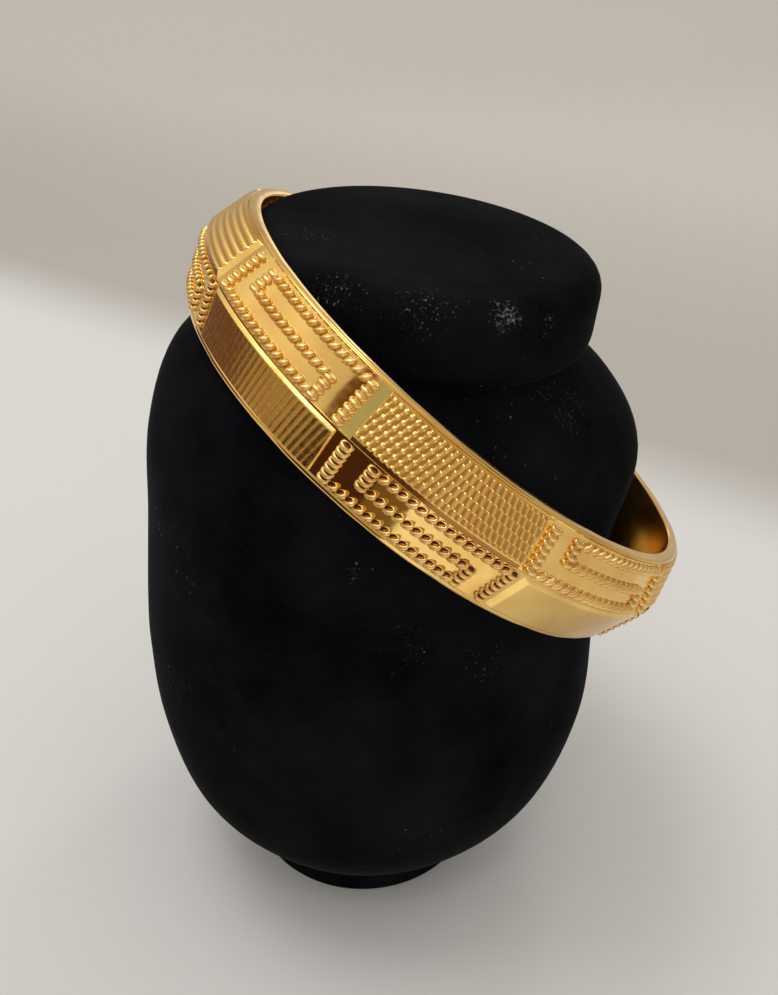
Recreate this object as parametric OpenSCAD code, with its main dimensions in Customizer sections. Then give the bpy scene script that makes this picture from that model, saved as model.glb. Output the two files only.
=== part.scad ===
// Kada: a rigid bangle with a bevelled outer wall, ten sections round, each with a ribbed pad on one
// slope and a square meander of wire on the other. It lies round the neck of a plain velvet bust.
// Origin: centre of the foot's underside. X points to where the kada hangs lowest, Z is up.

/* [Band of the kada] */
// Inside diameter, the size that the wearer chooses
bore_d = 60.3; // [58:0.1:62]
// Height of the band along the kada's own axis
band_h = 12.2; // [11:0.1:13]
// Width of the flat land at either rim
rim_w = 1.25; // [1.1:0.05:1.5]
// Thickness of the wall at the mid edge
edge_w = 3.25; // [3:0.05:3.6]
// How far the mid edge lies above the middle of the band
edge_rise = 0.2; // [0:0.05:0.4]
// Rounding of the rim's outer corner
rim_round = 0.5; // [0.3:0.05:0.6]

/* [Sections round the kada] */
// Angle of each of the front sections
front_span = 38; // [37:0.5:39]
// Where the first front section starts, counted from the lowest side of the kada
front_start = 162; // [158:1:166]

/* [Ribbed pads] */
// How far a pad stands off the slope
pad_rise = 0.3; // [0.2:0.05:0.4]
// Width of the chamfer along a pad's edges
pad_chamfer = 0.6; // [0.5:0.05:0.7]
// Distance from the mid edge to the far edge of a pad, along the slope
pad_len = 5.6; // [5.2:0.1:5.7]
// Bare strip between a pad on the upper slope and the section's start
pad_margin_upper = 1.45; // [1.2:0.05:1.7]
// Bare strip between a pad on the lower slope and the section's start
pad_margin_lower = 0.6; // [0.3:0.05:0.8]
// Bare strip between a pad and the section's end
pad_margin_end = 0.2; // [0.1:0.05:0.4]
// Width of the chamfer at the end of a pad on the upper slope
end_chamfer = 0.7; // [0.5:0.05:0.9]

/* [Meander wire] */
// Thickness of the wire in the runs along the circumference
wire_d = 1.2; // [1:0.05:1.25]
// How far the wire stands off the slope
wire_rise = 0.5; // [0.4:0.05:0.55]
// Distance from the mid edge to the first run of wire, along the slope
wire_first = 0.65; // [0.6:0.05:0.7]
// Distance between runs of wire, along the slope
wire_step = 2.23; // [2.1:0.01:2.3]
// Thickness of the wire in the bars across the slope
bar_d = 1.5; // [1.3:0.05:1.6]
// How much further the bars stand out than the runs
bar_over = 0.04; // [0.03:0.01:0.08]

/* [Bust] */
// How much narrower than the kada's bore the body is
body_play = 3.3; // [3:0.1:4]
// Height of the body, from the foot to the neck's underside
body_h = 73.8; // [68:0.2:80]
// Height of the body's upper part, which the kada lies round
upper_h = 40.6; // [39:0.2:42]
// Diameter of the foot
foot_d = 30.5; // [29:0.5:32]
// Height of the foot
foot_h = 2.6; // [2.4:0.1:2.8]
// How far the neck cap reaches in front of the middle of the body's top
neck_reach = 21.2; // [19:0.2:23]
// How much narrower than the kada's bore the neck cap is
neck_play = 14.3; // [13.5:0.1:18]
// Height of the neck cap
neck_h = 9.1; // [8.5:0.1:10]
// Rounding of the neck cap's edges
neck_round = 2.6; // [2.2:0.1:3]
// How far the middle of the body's top lies in front of the foot's
top_shift = 4.8; // [4:0.1:6]
// How far the neck leans to the front
neck_lean = 6.5; // [5:0.5:8]
// Gap between pieces that lie on each other
seat_gap = 0.1; // [0.05:0.05:0.2]

/* [Place of the kada] */
// How far the kada's centre lies below the body's top
kada_drop = 11.45; // [10.5:0.05:12.5]
// Slope of the kada, low at the front
kada_tilt = 38.7; // [36:0.1:41]

/* [Hidden] */
$fn = 96;

front_count = 5;
section_count = 10;

bore_r = bore_d / 2;
half_h = band_h / 2;
rim_r = bore_r + rim_w;
edge_r = bore_r + edge_w;

// Upper and lower slope: +1 or -1, the rim corner and the slope's length
function corner(side) = [rim_r, side * half_h];
function slope_len(side) = norm(corner(side) - [edge_r, edge_rise]);
// Unit vectors along the slope, from the mid edge to the rim, and out of it
function along(side) = (corner(side) - [edge_r, edge_rise]) / slope_len(side);
function outward(side) = side * [along(side).y, -along(side).x];
// Point at a distance from the mid edge and a height over the slope
function on_slope(side, s, rise) =
    [edge_r, edge_rise] + s * along(side) + rise * outward(side);

// Arc of points that rounds the corner p between its neighbours a and b
function rounded(a, p, b, r, steps) =
    let (u = (a - p) / norm(a - p), v = (b - p) / norm(b - p),
         half = acos(u * v) / 2,
         c = p + (u + v) / norm(u + v) * r / sin(half),
         p1 = p + u * r / tan(half), p2 = p + v * r / tan(half),
         a1 = atan2(p1.y - c.y, p1.x - c.x), a2 = atan2(p2.y - c.y, p2.x - c.x),
         turn = a2 - a1 > 180 ? a2 - a1 - 360 : a2 - a1 < -180 ? a2 - a1 + 360 : a2 - a1)
    [for (i = [0 : steps]) c + r * [cos(a1 + turn * i / steps), sin(a1 + turn * i / steps)]];

round_steps = 4;
inner_round = rim_round / 2;
inner_top = [bore_r, half_h];
inner_bottom = [bore_r, -half_h];
edge_point = [edge_r, edge_rise];
band_points = concat(
    rounded(corner(-1), inner_bottom, inner_top, inner_round, 2),
    rounded(inner_bottom, inner_top, corner(1), inner_round, 2),
    rounded(inner_top, corner(1), edge_point, rim_round, round_steps),
    [edge_point],
    rounded(edge_point, corner(-1), inner_bottom, rim_round, round_steps));

// Start and span of each section; the rear ones share what the front ones leave
rear_span = (360 - front_count * front_span) / (section_count - front_count);
function span(i) = i < front_count ? front_span : rear_span;
function start(i) = front_start + (i < front_count
    ? i * front_span
    : front_count * front_span + (i - front_count) * rear_span);
// The first section has its pad on the upper slope, the next on the lower, and so on round
function pad_side(i) = i % 2 == 0 ? 1 : -1;

// Angle that a length along the circumference takes
function turn_of(length) = length / edge_r * 180 / PI;

sink = 0.25;
pad_start_s = 0.06;

module pad(i) {
    side = pad_side(i);
    from = turn_of(side > 0 ? pad_margin_upper : pad_margin_lower);
    to = turn_of(pad_margin_end);
    difference() {
        rotate_extrude(angle = span(i) - from - to, start = start(i) + from)
            polygon([
                on_slope(side, pad_start_s, -sink),
                on_slope(side, pad_start_s, 0.03),
                on_slope(side, pad_chamfer, pad_rise),
                on_slope(side, pad_len - pad_rise / 2, pad_rise),
                on_slope(side, pad_len, pad_rise / 2),
                on_slope(side, pad_len, -sink)]);
        if (side > 0)
            end_cutter(start(i) + span(i) - to);
    }
}

// Wedge that chamfers the end of a pad on the upper slope
module end_cutter(at) {
    p = on_slope(1, 0, 0);
    dir = along(1);
    rotate([0, 0, at])
        translate([p.x, 0, p.y])
            rotate([0, atan2(dir.x, dir.y), 0])
                linear_extrude(slope_len(1))
                    polygon([[0.03, 0], [pad_rise, -end_chamfer], [2 * pad_rise, -end_chamfer],
                        [2 * pad_rise, 1], [0.03, 1]]);
}

// Meander: columns are [place along the section as a share of it, first run, last run]
bar_at = 0; bar_from = 1; bar_to = 2;
meander_bars = [
    [0.07, 0, 2],
    [0.22, 1, 2],
    [0.82, 0, 1],
    [0.975, 0, 2]];
// Runs are [number of the run, starting bar, ending bar]
run_no = 0; run_from = 1; run_to = 2;
meander_runs = [
    [0, 0, 2],
    [1, 1, 2],
    [2, 1, 3]];
run_count = 3;

wire_sink = wire_d / 2 - wire_rise;
bar_sink = bar_d / 2 - wire_rise - bar_over;
wire_over = 0.4;
// On the lower slope the whole figure is turned over, so run 0 is beside the rim there
function run_s(side, n) = wire_first + wire_step * (side > 0 ? n : run_count - 1 - n);

module wire_run(side, n, from, to) {
    rotate_extrude(angle = to - from, start = from)
        translate(on_slope(side, run_s(side, n), -wire_sink))
            circle(d = wire_d);
}

module wire_bar(side, at, n1, n2) {
    s1 = min(run_s(side, n1), run_s(side, n2)) - wire_over;
    s2 = max(run_s(side, n1), run_s(side, n2)) + wire_over;
    p = on_slope(side, s1, -bar_sink);
    dir = along(side);
    rotate([0, 0, at])
        translate([p.x, 0, p.y])
            rotate([0, atan2(dir.x, dir.y), 0])
                cylinder(d = bar_d, h = s2 - s1);
}

module meander(i) {
    side = -pad_side(i);
    for (bar = meander_bars)
        wire_bar(side, start(i) + span(i) * bar[bar_at], bar[bar_from], bar[bar_to]);
    for (run = meander_runs)
        wire_run(side, run[run_no],
            start(i) + span(i) * meander_bars[run[run_from]][bar_at],
            start(i) + span(i) * meander_bars[run[run_to]][bar_at]);
}

module kada() {
    color("goldenrod")
        translate([kada_x, 0, kada_z])
            rotate([0, kada_tilt, 0])
                union() {
                    rotate_extrude() polygon(band_points);
                    for (i = [0 : section_count - 1]) {
                        pad(i);
                        meander(i);
                    }
                }
}

// Body: rows are [height as a share of lower_h and as a share of upper_h, half width along X and
// along Y as shares of body_w / 2, middle along X as a share of top_shift, lean as a share of
// neck_lean]
row_low = 0; row_up = 1; row_x = 2; row_y = 3; row_mid = 4; row_lean = 5;
body_rows = [
    [0.00, 0.00, 0.50, 0.49, 0.00, 0.0],
    [0.07, 0.00, 0.58, 0.57, 0.00, 0.0],
    [0.20, 0.00, 0.73, 0.73, 0.14, 0.0],
    [0.42, 0.00, 0.90, 0.90, 0.21, 0.0],
    [0.73, 0.00, 0.99, 0.99, 0.29, 0.0],
    [1.00, 0.00, 1.00, 0.99, 0.28, 0.0],
    [1.00, 0.15, 0.99, 0.98, 0.29, 0.0],
    [1.00, 0.44, 0.99, 0.98, 0.57, 0.1],
    [1.00, 0.69, 1.00, 1.00, 0.89, 0.4],
    [1.00, 0.89, 0.87, 0.88, 0.88, 0.8],
    [1.00, 1.00, 0.64, 0.72, 1.00, 1.0]];
rings_per_row = 3;
body_segments = 64;
body_w = bore_d - body_play;
lower_h = body_h - upper_h;
body_base = foot_h + seat_gap;
body_top = body_base + body_h;

// Smooth curve through the rows, at parameter t between rows i and i + 1
function row_at(i) = body_rows[max(0, min(len(body_rows) - 1, i))];
function between(i, t) = 0.5 * (2 * row_at(i) + (row_at(i + 1) - row_at(i - 1)) * t
    + (2 * row_at(i - 1) - 5 * row_at(i) + 4 * row_at(i + 1) - row_at(i + 2)) * t * t
    + (3 * row_at(i) - row_at(i - 1) - 3 * row_at(i + 1) + row_at(i + 2)) * t * t * t);
smooth_rows = concat(
    [for (i = [0 : len(body_rows) - 2], k = [0 : rings_per_row - 1]) between(i, k / rings_per_row)],
    [row_at(len(body_rows) - 1)]);
function row_height(r) = body_base + r[row_low] * lower_h + r[row_up] * upper_h;

// The kada lies against the body's front with the lower corner of its bore. Where that corner is
// follows from kada_drop, and the corner's rounding lies corner_loss behind the sharp corner.
kada_z = body_top - kada_drop;
contact_z = kada_z - bore_r * sin(kada_tilt) - half_h * cos(kada_tilt);
body_front = lookup(contact_z,
    [for (r = smooth_rows) [row_height(r), r[row_mid] * top_shift + r[row_x] * body_w / 2]]);
corner_loss = inner_round * (cos(kada_tilt) + sin(kada_tilt) - 1);
kada_x = body_front + seat_gap - corner_loss - bore_r * cos(kada_tilt) + half_h * sin(kada_tilt);

// Point on an ellipse of half widths hx, hy that leans to the front and lies round [mid, 0, z]
function ring_point(hx, hy, mid, z, lean, a) =
    [mid + hx * cos(a) * cos(lean), hy * sin(a), z - hx * cos(a) * sin(lean)];

// Closed solid through rings of points that all have the same number of points
module skin(rings) {
    n = len(rings[0]);
    m = len(rings);
    polyhedron(
        points = [for (ring = rings, p = ring) p],
        faces = concat(
            [[for (k = [0 : n - 1]) k]],
            [for (j = [0 : m - 2], k = [0 : n - 1])
                [j * n + k, (j + 1) * n + k, (j + 1) * n + (k + 1) % n]],
            [for (j = [0 : m - 2], k = [0 : n - 1])
                [j * n + k, (j + 1) * n + (k + 1) % n, j * n + (k + 1) % n]],
            [[for (k = [n - 1 : -1 : 0]) (m - 1) * n + k]]));
}

module bust_foot() {
    color("black")
        rotate_extrude()
            polygon(concat(
                [[0, 0]],
                rounded([0, 0], [foot_d / 2, 0], [foot_d / 2, foot_h], foot_h / 6, 2),
                rounded([foot_d / 2, 0], [foot_d / 2, foot_h], [0, foot_h], foot_h / 3, 3),
                [[0, foot_h]]));
}

module bust_body() {
    color("black")
        skin([for (r = smooth_rows)
            [for (k = [0 : body_segments - 1])
                ring_point(r[row_x] * body_w / 2, r[row_y] * body_w / 2, r[row_mid] * top_shift,
                    row_height(r), r[row_lean] * neck_lean, k * 360 / body_segments)]]);
}

// The neck cap sits flat on the body's top, which leans as it does, and its back reaches to the
// bore of the kada. Square to the bore, axis_away and edge_lift are how far the bore's axis and
// the middle of the cap's upper rounding lie behind the middle of the body's top.
neck_w = bore_d - neck_play;
cap_turn = kada_tilt - neck_lean;
axis_away = (top_shift - kada_x) * cos(kada_tilt)
    + (kada_z - body_top - seat_gap) * sin(kada_tilt);
edge_lift = (neck_h - neck_round) * sin(cap_turn);
edge_reach = bore_r - seat_gap - neck_round;
// How far back the cap may reach if its rounding meets the bore at angle a from its rearmost point
function rear_at(a) =
    let (side = (neck_w / 2 - neck_round) * sin(a),
         room = (sqrt(pow(edge_reach, 2) - pow(side, 2)) + axis_away - edge_lift) / cos(cap_turn))
    (2 * (room + neck_round * cos(a)) + neck_reach * (1 - cos(a))) / (1 + cos(a));
neck_rear = min([for (a = [0 : 3 : 45]) rear_at(a)]);
neck_len = neck_reach + neck_rear;
edge_steps = 6;
neck_sections = concat(
    [for (k = [0 : edge_steps])
        let (a = -90 + 90 * k / edge_steps)
        [neck_round * (cos(a) - 1), neck_round * (1 + sin(a))]],
    [for (k = [0 : edge_steps])
        let (a = 90 * k / edge_steps)
        [neck_round * (cos(a) - 1), neck_h - neck_round * (1 - sin(a))]]);

module bust_neck() {
    color("black")
        translate([top_shift, 0, body_top + seat_gap])
            rotate([0, neck_lean, 0])
                translate([(neck_reach - neck_rear) / 2, 0, 0])
                    skin([for (s = neck_sections)
                        [for (k = [0 : body_segments - 1])
                            ring_point(neck_len / 2 + s[0], neck_w / 2 + s[0], 0, s[1], 0,
                                k * 360 / body_segments)]]);
}

kada();
bust_foot();
bust_body();
bust_neck();
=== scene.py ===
"""Kada bangle on a black velvet display bust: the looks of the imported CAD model.

The kada is one soldered piece, shown here as its band, its pads and its rope wire. Every surface is
a function of two parameters worked out with numpy, in metres, in the frame of the CAD model.
"""

from math import cos, pi, radians, sin

import bpy
import numpy as np
from bpy.props import FloatProperty, FloatVectorProperty, IntProperty, PointerProperty
from mathutils import Matrix


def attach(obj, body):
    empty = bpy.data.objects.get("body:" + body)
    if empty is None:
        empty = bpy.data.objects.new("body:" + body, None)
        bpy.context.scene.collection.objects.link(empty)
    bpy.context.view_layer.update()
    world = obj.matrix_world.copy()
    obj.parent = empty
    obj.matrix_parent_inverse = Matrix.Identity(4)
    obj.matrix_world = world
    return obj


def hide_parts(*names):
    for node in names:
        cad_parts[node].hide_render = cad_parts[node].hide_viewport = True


bl_info = {
    "name": "Kada bangle on a display bust",
    "version": (1, 0, 0),
    "blender": (4, 5, 0),
    "location": "View3D > Sidebar > Kada",
    "description": "Builds a gold-plated kada with its velvet bust and a plain studio",
    "category": "Object",
}

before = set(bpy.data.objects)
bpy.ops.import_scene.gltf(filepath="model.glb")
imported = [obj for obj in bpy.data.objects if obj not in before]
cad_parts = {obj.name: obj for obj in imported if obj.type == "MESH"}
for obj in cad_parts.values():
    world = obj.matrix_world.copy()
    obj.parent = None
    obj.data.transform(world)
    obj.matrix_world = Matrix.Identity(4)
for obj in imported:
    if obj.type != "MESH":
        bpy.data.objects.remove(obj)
MM = 0.001


def linear(colour):
    """The linear red, green and blue of an sRGB hex colour."""
    shares = [int(colour[i : i + 2], 16) / 255 for i in (1, 3, 5)]
    return tuple(c / 12.92 if c <= 0.04045 else ((c + 0.055) / 1.055) ** 2.4 for c in shares)


def length(name, value, description):
    """A property that holds a length given in millimetres."""
    return FloatProperty(
        name=name, description=description, default=value * MM, min=0.0, unit="LENGTH",
        subtype="DISTANCE", precision=5,
    )


def share(name, value, description):
    """A property that holds a plain number."""
    return FloatProperty(name=name, description=description, default=value)


def angle(name, value, description):
    """A property that holds an angle given in degrees."""
    return FloatProperty(
        name=name, description=description, default=radians(value), unit="ROTATION",
        subtype="ANGLE",
    )


def colour(name, value, description):
    """A property that holds a colour given as sRGB hex."""
    return FloatVectorProperty(
        name=name, description=description, default=linear(value), subtype="COLOR", size=3,
        min=0.0, max=1.0,
    )


class KadaSizes(bpy.types.PropertyGroup):
    """Sizes of the kada, the same as in the CAD model"""

    bore_r: length("Bore radius", 30.15, "Half the inside diameter")
    band_h: length("Band height", 12.2, "Height along the kada's own axis")
    rim_w: length("Rim width", 1.25, "Width of the flat land at either rim")
    edge_w: length("Edge width", 3.25, "Thickness of the wall at the mid edge")
    edge_rise: length("Edge rise", 0.2, "How far the mid edge lies above the band's middle")
    rim_round: length("Rim rounding", 0.5, "Radius of the rim's outer corner")
    field_depth: length("Field depth", 0.1, "How far the fields lie below the rims")
    field_end: length("Field end", 5.78, "Where the fields end, from the mid edge")
    field_step: length("Field step", 0.16, "Width of the step from the field to the rim")
    shift: length("Shift", 9.885, "How far the kada's centre lies in front of the foot's")
    lift: length("Lift", 65.05, "Height of the kada's centre")
    tilt: angle("Tilt", 38.7, "Slope of the kada, low at the front")
    front_span: angle("Front span", 38.0, "Angle of each front section")
    front_start: angle("Front start", 162.0, "Where the first front section starts")


class PadSizes(bpy.types.PropertyGroup):
    """Sizes of the cut pads"""

    top: length("Pad top", 0.2, "Height of a pad's ground over the slope")
    chamfer: length("Chamfer", 0.46, "Width of an upper pad's chamfer beside the mid edge")
    chamfer_low: length("Lower chamfer", 0.32, "Width of a lower pad's chamfer beside the mid edge")
    upper_from: length("Upper start", 0.05, "Where an upper pad starts, from the mid edge")
    lower_from: length("Lower start", 0.3, "Where a lower pad starts, from the mid edge")
    far: length("Far edge", 5.66, "Where an upper pad ends, from the mid edge")
    far_low: length("Lower far edge", 5.8, "Where a lower pad ends, from the mid edge")
    margin_upper: length("Upper margin", 1.3, "Bare strip before an upper pad")
    margin_lower: length("Lower margin", 0.6, "Bare strip before a lower pad")
    margin_end: length("End margin", 0.08, "Bare strip after a pad")
    end_bevel: length("End bevel", 0.68, "Width of the bevel at one end of a pad")
    pitch: length("Drop pitch", 0.735, "Distance between drops in a row")
    row: length("Row pitch", 0.9, "Distance between rows of drops")
    shear: length("Shear", 0.26, "How far an upper pad's row is moved along")
    shear_low: length("Lower shear", 0.143, "The same for a lower pad, the other way")
    fall: share("Row slope", 0.055, "How far a row climbs for each length along the pad")
    height: length("Drop height", 0.11, "How far the drops stand out")
    rib_first: length("First rib", 0.55, "Distance from the mid edge to the first rib")
    rib_pitch: length("Rib pitch", 0.87, "Distance between ribs")
    bead_pitch: length("Bead pitch", 0.44, "Distance between the beads on a rib")
    grid: length("Grid", 0.07, "Distance between the points that a cut pad is worked out at")


class RopeSizes(bpy.types.PropertyGroup):
    """Sizes of the rope wire"""

    wire: length("Wire", 0.175, "Mean radius of the wire that a loop is made of")
    thin: share("Thinning", 0.8, "How much thicker a loop's lower side is and thinner its upper one")
    half_long: length("Half length", 0.56, "Half length of a loop's middle line")
    half_high: length("Half height", 0.27, "Half height of a loop's middle line")
    twist: angle("Twist", 36.0, "How far the loops of a run turn, right end up")
    pitch_run: length("Pitch in runs", 1.13, "Distance between loops in a run")
    per_step: IntProperty(
        name="Loops per step", description="Loops in a bar between two runs", default=3, min=1
    )
    lift: length("Lift", 0.13, "Height of a loop's middle over the field")
    slant: length("Slant", 0.15, "How much prouder a loop's lower side is")
    lap: length("Lap", 0.1, "How much prouder the right end of a run's loop is")
    first: length("First run", 0.65, "Distance from the mid edge to the first run")
    step: length("Run step", 2.23, "Distance between runs")


class BustSizes(bpy.types.PropertyGroup):
    """Sizes of the bust, the same as in the CAD model"""

    body_w: length("Body width", 57.0, "Width of the body at its widest")
    lower_h: length("Lower height", 33.2, "Height of the body's lower part")
    upper_h: length("Upper height", 40.6, "Height of the body's upper part")
    foot_r: length("Foot radius", 15.25, "Radius of the foot")
    foot_h: length("Foot height", 2.6, "Height of the foot")
    gap: length("Gap", 0.1, "Gap between pieces that lie on each other")
    neck_reach: length("Neck reach", 21.2, "How far the neck cap reaches to the front")
    neck_rear: length("Neck rear", 17.65, "How far the neck cap reaches to the back")
    neck_w: length("Neck width", 46.0, "Width of the neck cap")
    neck_h: length("Neck height", 9.1, "Height of the neck cap")
    neck_round: length("Neck rounding", 2.6, "Rounding of the neck cap's edges")
    top_shift: length("Top shift", 4.8, "How far the body's top lies in front of the foot")
    lean: angle("Lean", 6.5, "How far the neck leans to the front")


class Colours(bpy.types.PropertyGroup):
    """Colours of the materials"""

    gold: colour("Gold", "#F7CF7A", "The plating where it is clean")
    rope_gold: colour("Rope gold", "#F8D388", "The plating on the rope, satin and a little paler")
    # Amber is the stains' colour and, on the pads and the rope, also painted shade in corners and
    # valleys; the pits' dark brown is painted shade at the bottom of the rope's eyes and on the
    # upper pads' chamfers and valleys
    amber: colour("Amber", "#D09444", "The plating in corners, where it is thin or stained")
    pit_shade: colour("Pits", "#63381A", "The plating at the bottom of the rope's eyes")
    velvet: colour("Velvet", "#0B0B0E", "The pile of the bust's velvet")
    velvet_sheen: colour("Velvet sheen", "#A9ABB4", "Light that the pile's tips scatter")
    lint: colour("Lint", "#B9B4B0", "Dust and lint on the velvet")
    board: colour("Board", "#E9E7E5", "The white board that the bust stands on")
    wall: colour("Wall", "#D8D2C9", "The beige wall behind it")


class StudioSizes(bpy.types.PropertyGroup):
    """Sizes and strengths of the studio"""

    floor_size: length("Floor size", 4200.0, "Width and depth of the floor")
    board_edge: length("Board edge", 119.0, "Distance at which the white board ends behind the bust")
    board_turn: angle("Board turn", 48.0, "Direction in which the white board ends, from +X")
    key_power: share("Key", 1.6, "Power of the key light")
    rim_power: share("Rim light", 0.3, "Power of the light behind")
    front_power: share("Front light", 0.2, "Power of the small light above the camera")
    ambient: share("Ambient", 0.70, "Strength of the surroundings")


# Surfaces


def loft(points, closed):
    """Closed mesh through rows of points: neighbours in a row and in the next row make quads.

    points is [row, column, xyz], and each row is a closed loop. Where the rows don't close on each
    other, the first and last row are filled with one face each.
    """
    rows, cols = points.shape[:2]
    i, j = np.meshgrid(np.arange(rows if closed else rows - 1), np.arange(cols), indexing="ij")
    i2, j2 = (i + 1) % rows, (j + 1) % cols
    quads = np.stack([i * cols + j, i2 * cols + j, i2 * cols + j2, i * cols + j2], -1).reshape(-1, 4)
    caps = [] if closed else [np.arange(cols), (rows - 1) * cols + np.arange(cols)[::-1]]
    flat = points.reshape(-1, 3)
    a, b, c, d = (flat[quads[:, k]] for k in range(4))
    volume = np.sum(np.cross(b - a, c - a) * a) + np.sum(np.cross(c - a, d - a) * a)
    for cap in caps:
        p = flat[cap]
        volume += np.sum(np.cross(p[1:-1] - p[0], p[2:] - p[0]) * p[0])
    if volume < 0:
        quads, caps = quads[:, ::-1], [cap[::-1] for cap in caps]
    return flat, quads, caps


def piece(name, lofts, material, values=None):
    """Object from several closed meshes, with a float attribute for each array in values."""
    starts = np.cumsum([0] + [len(points) for points, _, _ in lofts])
    points = np.concatenate([points for points, _, _ in lofts])
    quads = np.concatenate([quads + start for (_, quads, _), start in zip(lofts, starts)])
    caps = [cap + start for (_, _, caps), start in zip(lofts, starts) for cap in caps]
    loops = np.concatenate([quads.reshape(-1)] + caps)
    totals = np.concatenate([np.full(len(quads), 4), [len(cap) for cap in caps]]).astype(int)
    mesh = bpy.data.meshes.new(name)
    mesh.vertices.add(len(points))
    mesh.vertices.foreach_set("co", points.astype(np.float32).reshape(-1))
    mesh.loops.add(len(loops))
    mesh.loops.foreach_set("vertex_index", loops.astype(np.int32))
    mesh.polygons.add(len(totals))
    mesh.polygons.foreach_set("loop_start", (np.cumsum(totals) - totals).astype(np.int32))
    mesh.polygons.foreach_set("loop_total", totals.astype(np.int32))
    mesh.polygons.foreach_set("use_smooth", totals == 4)
    mesh.update(calc_edges=True)
    if mesh.validate():
        raise RuntimeError(f"{name}: the mesh had bad faces")
    for key, value in (values or {}).items():
        layer = mesh.attributes.new(key, "FLOAT", "POINT")
        layer.data.foreach_set("value", np.asarray(value, np.float32).reshape(-1))
    mesh.materials.append(material)
    thing = bpy.data.objects.new(name, mesh)
    bpy.context.scene.collection.objects.link(thing)
    return thing


def rounded(corners, steps=4):
    """Closed outline with each corner [x, y, radius] replaced by an arc of that radius."""
    corners = np.asarray(corners, float)
    p, r = corners[:, :2], corners[:, 2]
    u, v = np.roll(p, 1, 0) - p, np.roll(p, -1, 0) - p
    u /= np.linalg.norm(u, axis=1)[:, None]
    v /= np.linalg.norm(v, axis=1)[:, None]
    half = np.arccos(np.clip(np.sum(u * v, 1), -1, 1)) / 2
    cut = r / np.tan(half)
    t = np.linspace(0, 1, steps + 1)[None, :, None]
    a, b = (p + u * cut[:, None])[:, None], (p + v * cut[:, None])[:, None]
    middle = p + (u + v) / np.linalg.norm(u + v, axis=1)[:, None] * (r / np.sin(half))[:, None]
    arc = a * (1 - t) + b * t - middle[:, None]
    arc *= (r[:, None] / np.maximum(np.linalg.norm(arc, axis=2), 1e-12))[..., None]
    return (middle[:, None] + arc).reshape(-1, 2)


def smooth(x, low, high):
    """0 below low, 1 above high and a smooth curve between them."""
    t = np.clip((x - low) / (high - low), 0, 1)
    return t * t * (3 - 2 * t)


# Kada


def slope(k, side):
    """Mid edge point, unit vector up or down the slope from it, unit vector out, slope's length."""
    edge = np.array([k.bore_r + k.edge_w, k.edge_rise])
    corner = np.array([k.bore_r + k.rim_w, side * k.band_h / 2])
    size = np.linalg.norm(corner - edge)
    along = (corner - edge) / size
    return edge, along, side * np.array([along[1], -along[0]]), size


def on_slope(k, side, s, rise):
    """Radius and height of points at a distance s from the mid edge and a rise over the slope."""
    edge, along, out, _ = slope(k, side)
    s, rise = np.broadcast_arrays(s, rise)
    return edge[0] + s * along[0] + rise * out[0], edge[1] + s * along[1] + rise * out[1]


def place(k, radius, theta, height):
    """Points of the kada in the frame of the CAD model, from cylinder coordinates about its axis."""
    x, y = radius * np.cos(theta), radius * np.sin(theta)
    return np.stack([
        k.shift + x * cos(k.tilt) + height * sin(k.tilt),
        y + 0 * height,
        k.lift - x * sin(k.tilt) + height * cos(k.tilt),
    ], -1)


def section(k, i):
    """Start and span of section i: five front ones, then five that share the rest."""
    rear = (2 * pi - 5 * k.front_span) / 5
    if i < 5:
        return k.front_start + i * k.front_span, k.front_span
    return k.front_start + 5 * k.front_span + (i - 5) * rear, rear


def band(k, segments=720):
    """The band: its outline, turned round the axis, and how satin each point is.

    Near the rims, the sum of three sines of the angle moves the outline, as the slow ripple that
    hand polishing leaves. The lands of the rims and the bore are marked as satin, because files
    and fingers dull them.
    """
    low = -k.field_depth
    end, step = k.field_end, k.field_step
    lower_end = slope(k, -1)[3] - 0.75 * MM  # the strip beside the lower rim is 0.75 mm wide
    tiny, bead = 0.03 * MM, 0.09 * MM
    h = k.band_h / 2
    upper = [[bead, low, tiny], [end, low, tiny], [end + step, 0, tiny]]
    lower = [[lower_end + step, 0, tiny], [lower_end, low, tiny], [bead, low, tiny]]
    edge = slope(k, 1)[0]
    corners = [
        [k.bore_r, -h, k.rim_round / 2],
        [k.bore_r, h, k.rim_round / 2],
        [k.bore_r + k.rim_w, h, k.rim_round],
        *[[*on_slope(k, 1, s, rise), r] for s, rise, r in reversed(upper)],
        [edge[0], edge[1], tiny],
        *[[*on_slope(k, -1, s, rise), r] for s, rise, r in reversed(lower)],
        [k.bore_r + k.rim_w, -h, k.rim_round],
    ]
    outline = rounded(corners, 5)
    theta = np.linspace(0, 2 * pi, segments, endpoint=False)[:, None]
    outer = smooth(outline[:, 0], k.bore_r + 0.4 * MM, k.bore_r + 1.2 * MM)[None]
    top = smooth(np.abs(outline[:, 1]), h - 0.9 * MM, h - 0.2 * MM)[None]
    ripple = 0.012 * MM * (np.sin(17 * theta + 1) + np.sin(29 * theta + 2.2) * 0.7
                           + np.sin(47 * theta) * 0.35)
    satin = smooth(np.abs(outline[:, 1]), h - 0.14 * MM, h - 0.04 * MM)
    satin = np.maximum(satin, 0.75 * (outline[:, 0] < k.bore_r + 0.02 * MM))[None] + 0 * theta
    radius = outline[None, :, 0] + ripple * outer * top
    height = outline[None, :, 1] + ripple * 0.8 * top * np.sign(outline[None, :, 1])
    return loft(place(k, radius, theta, height), True), satin


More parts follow.
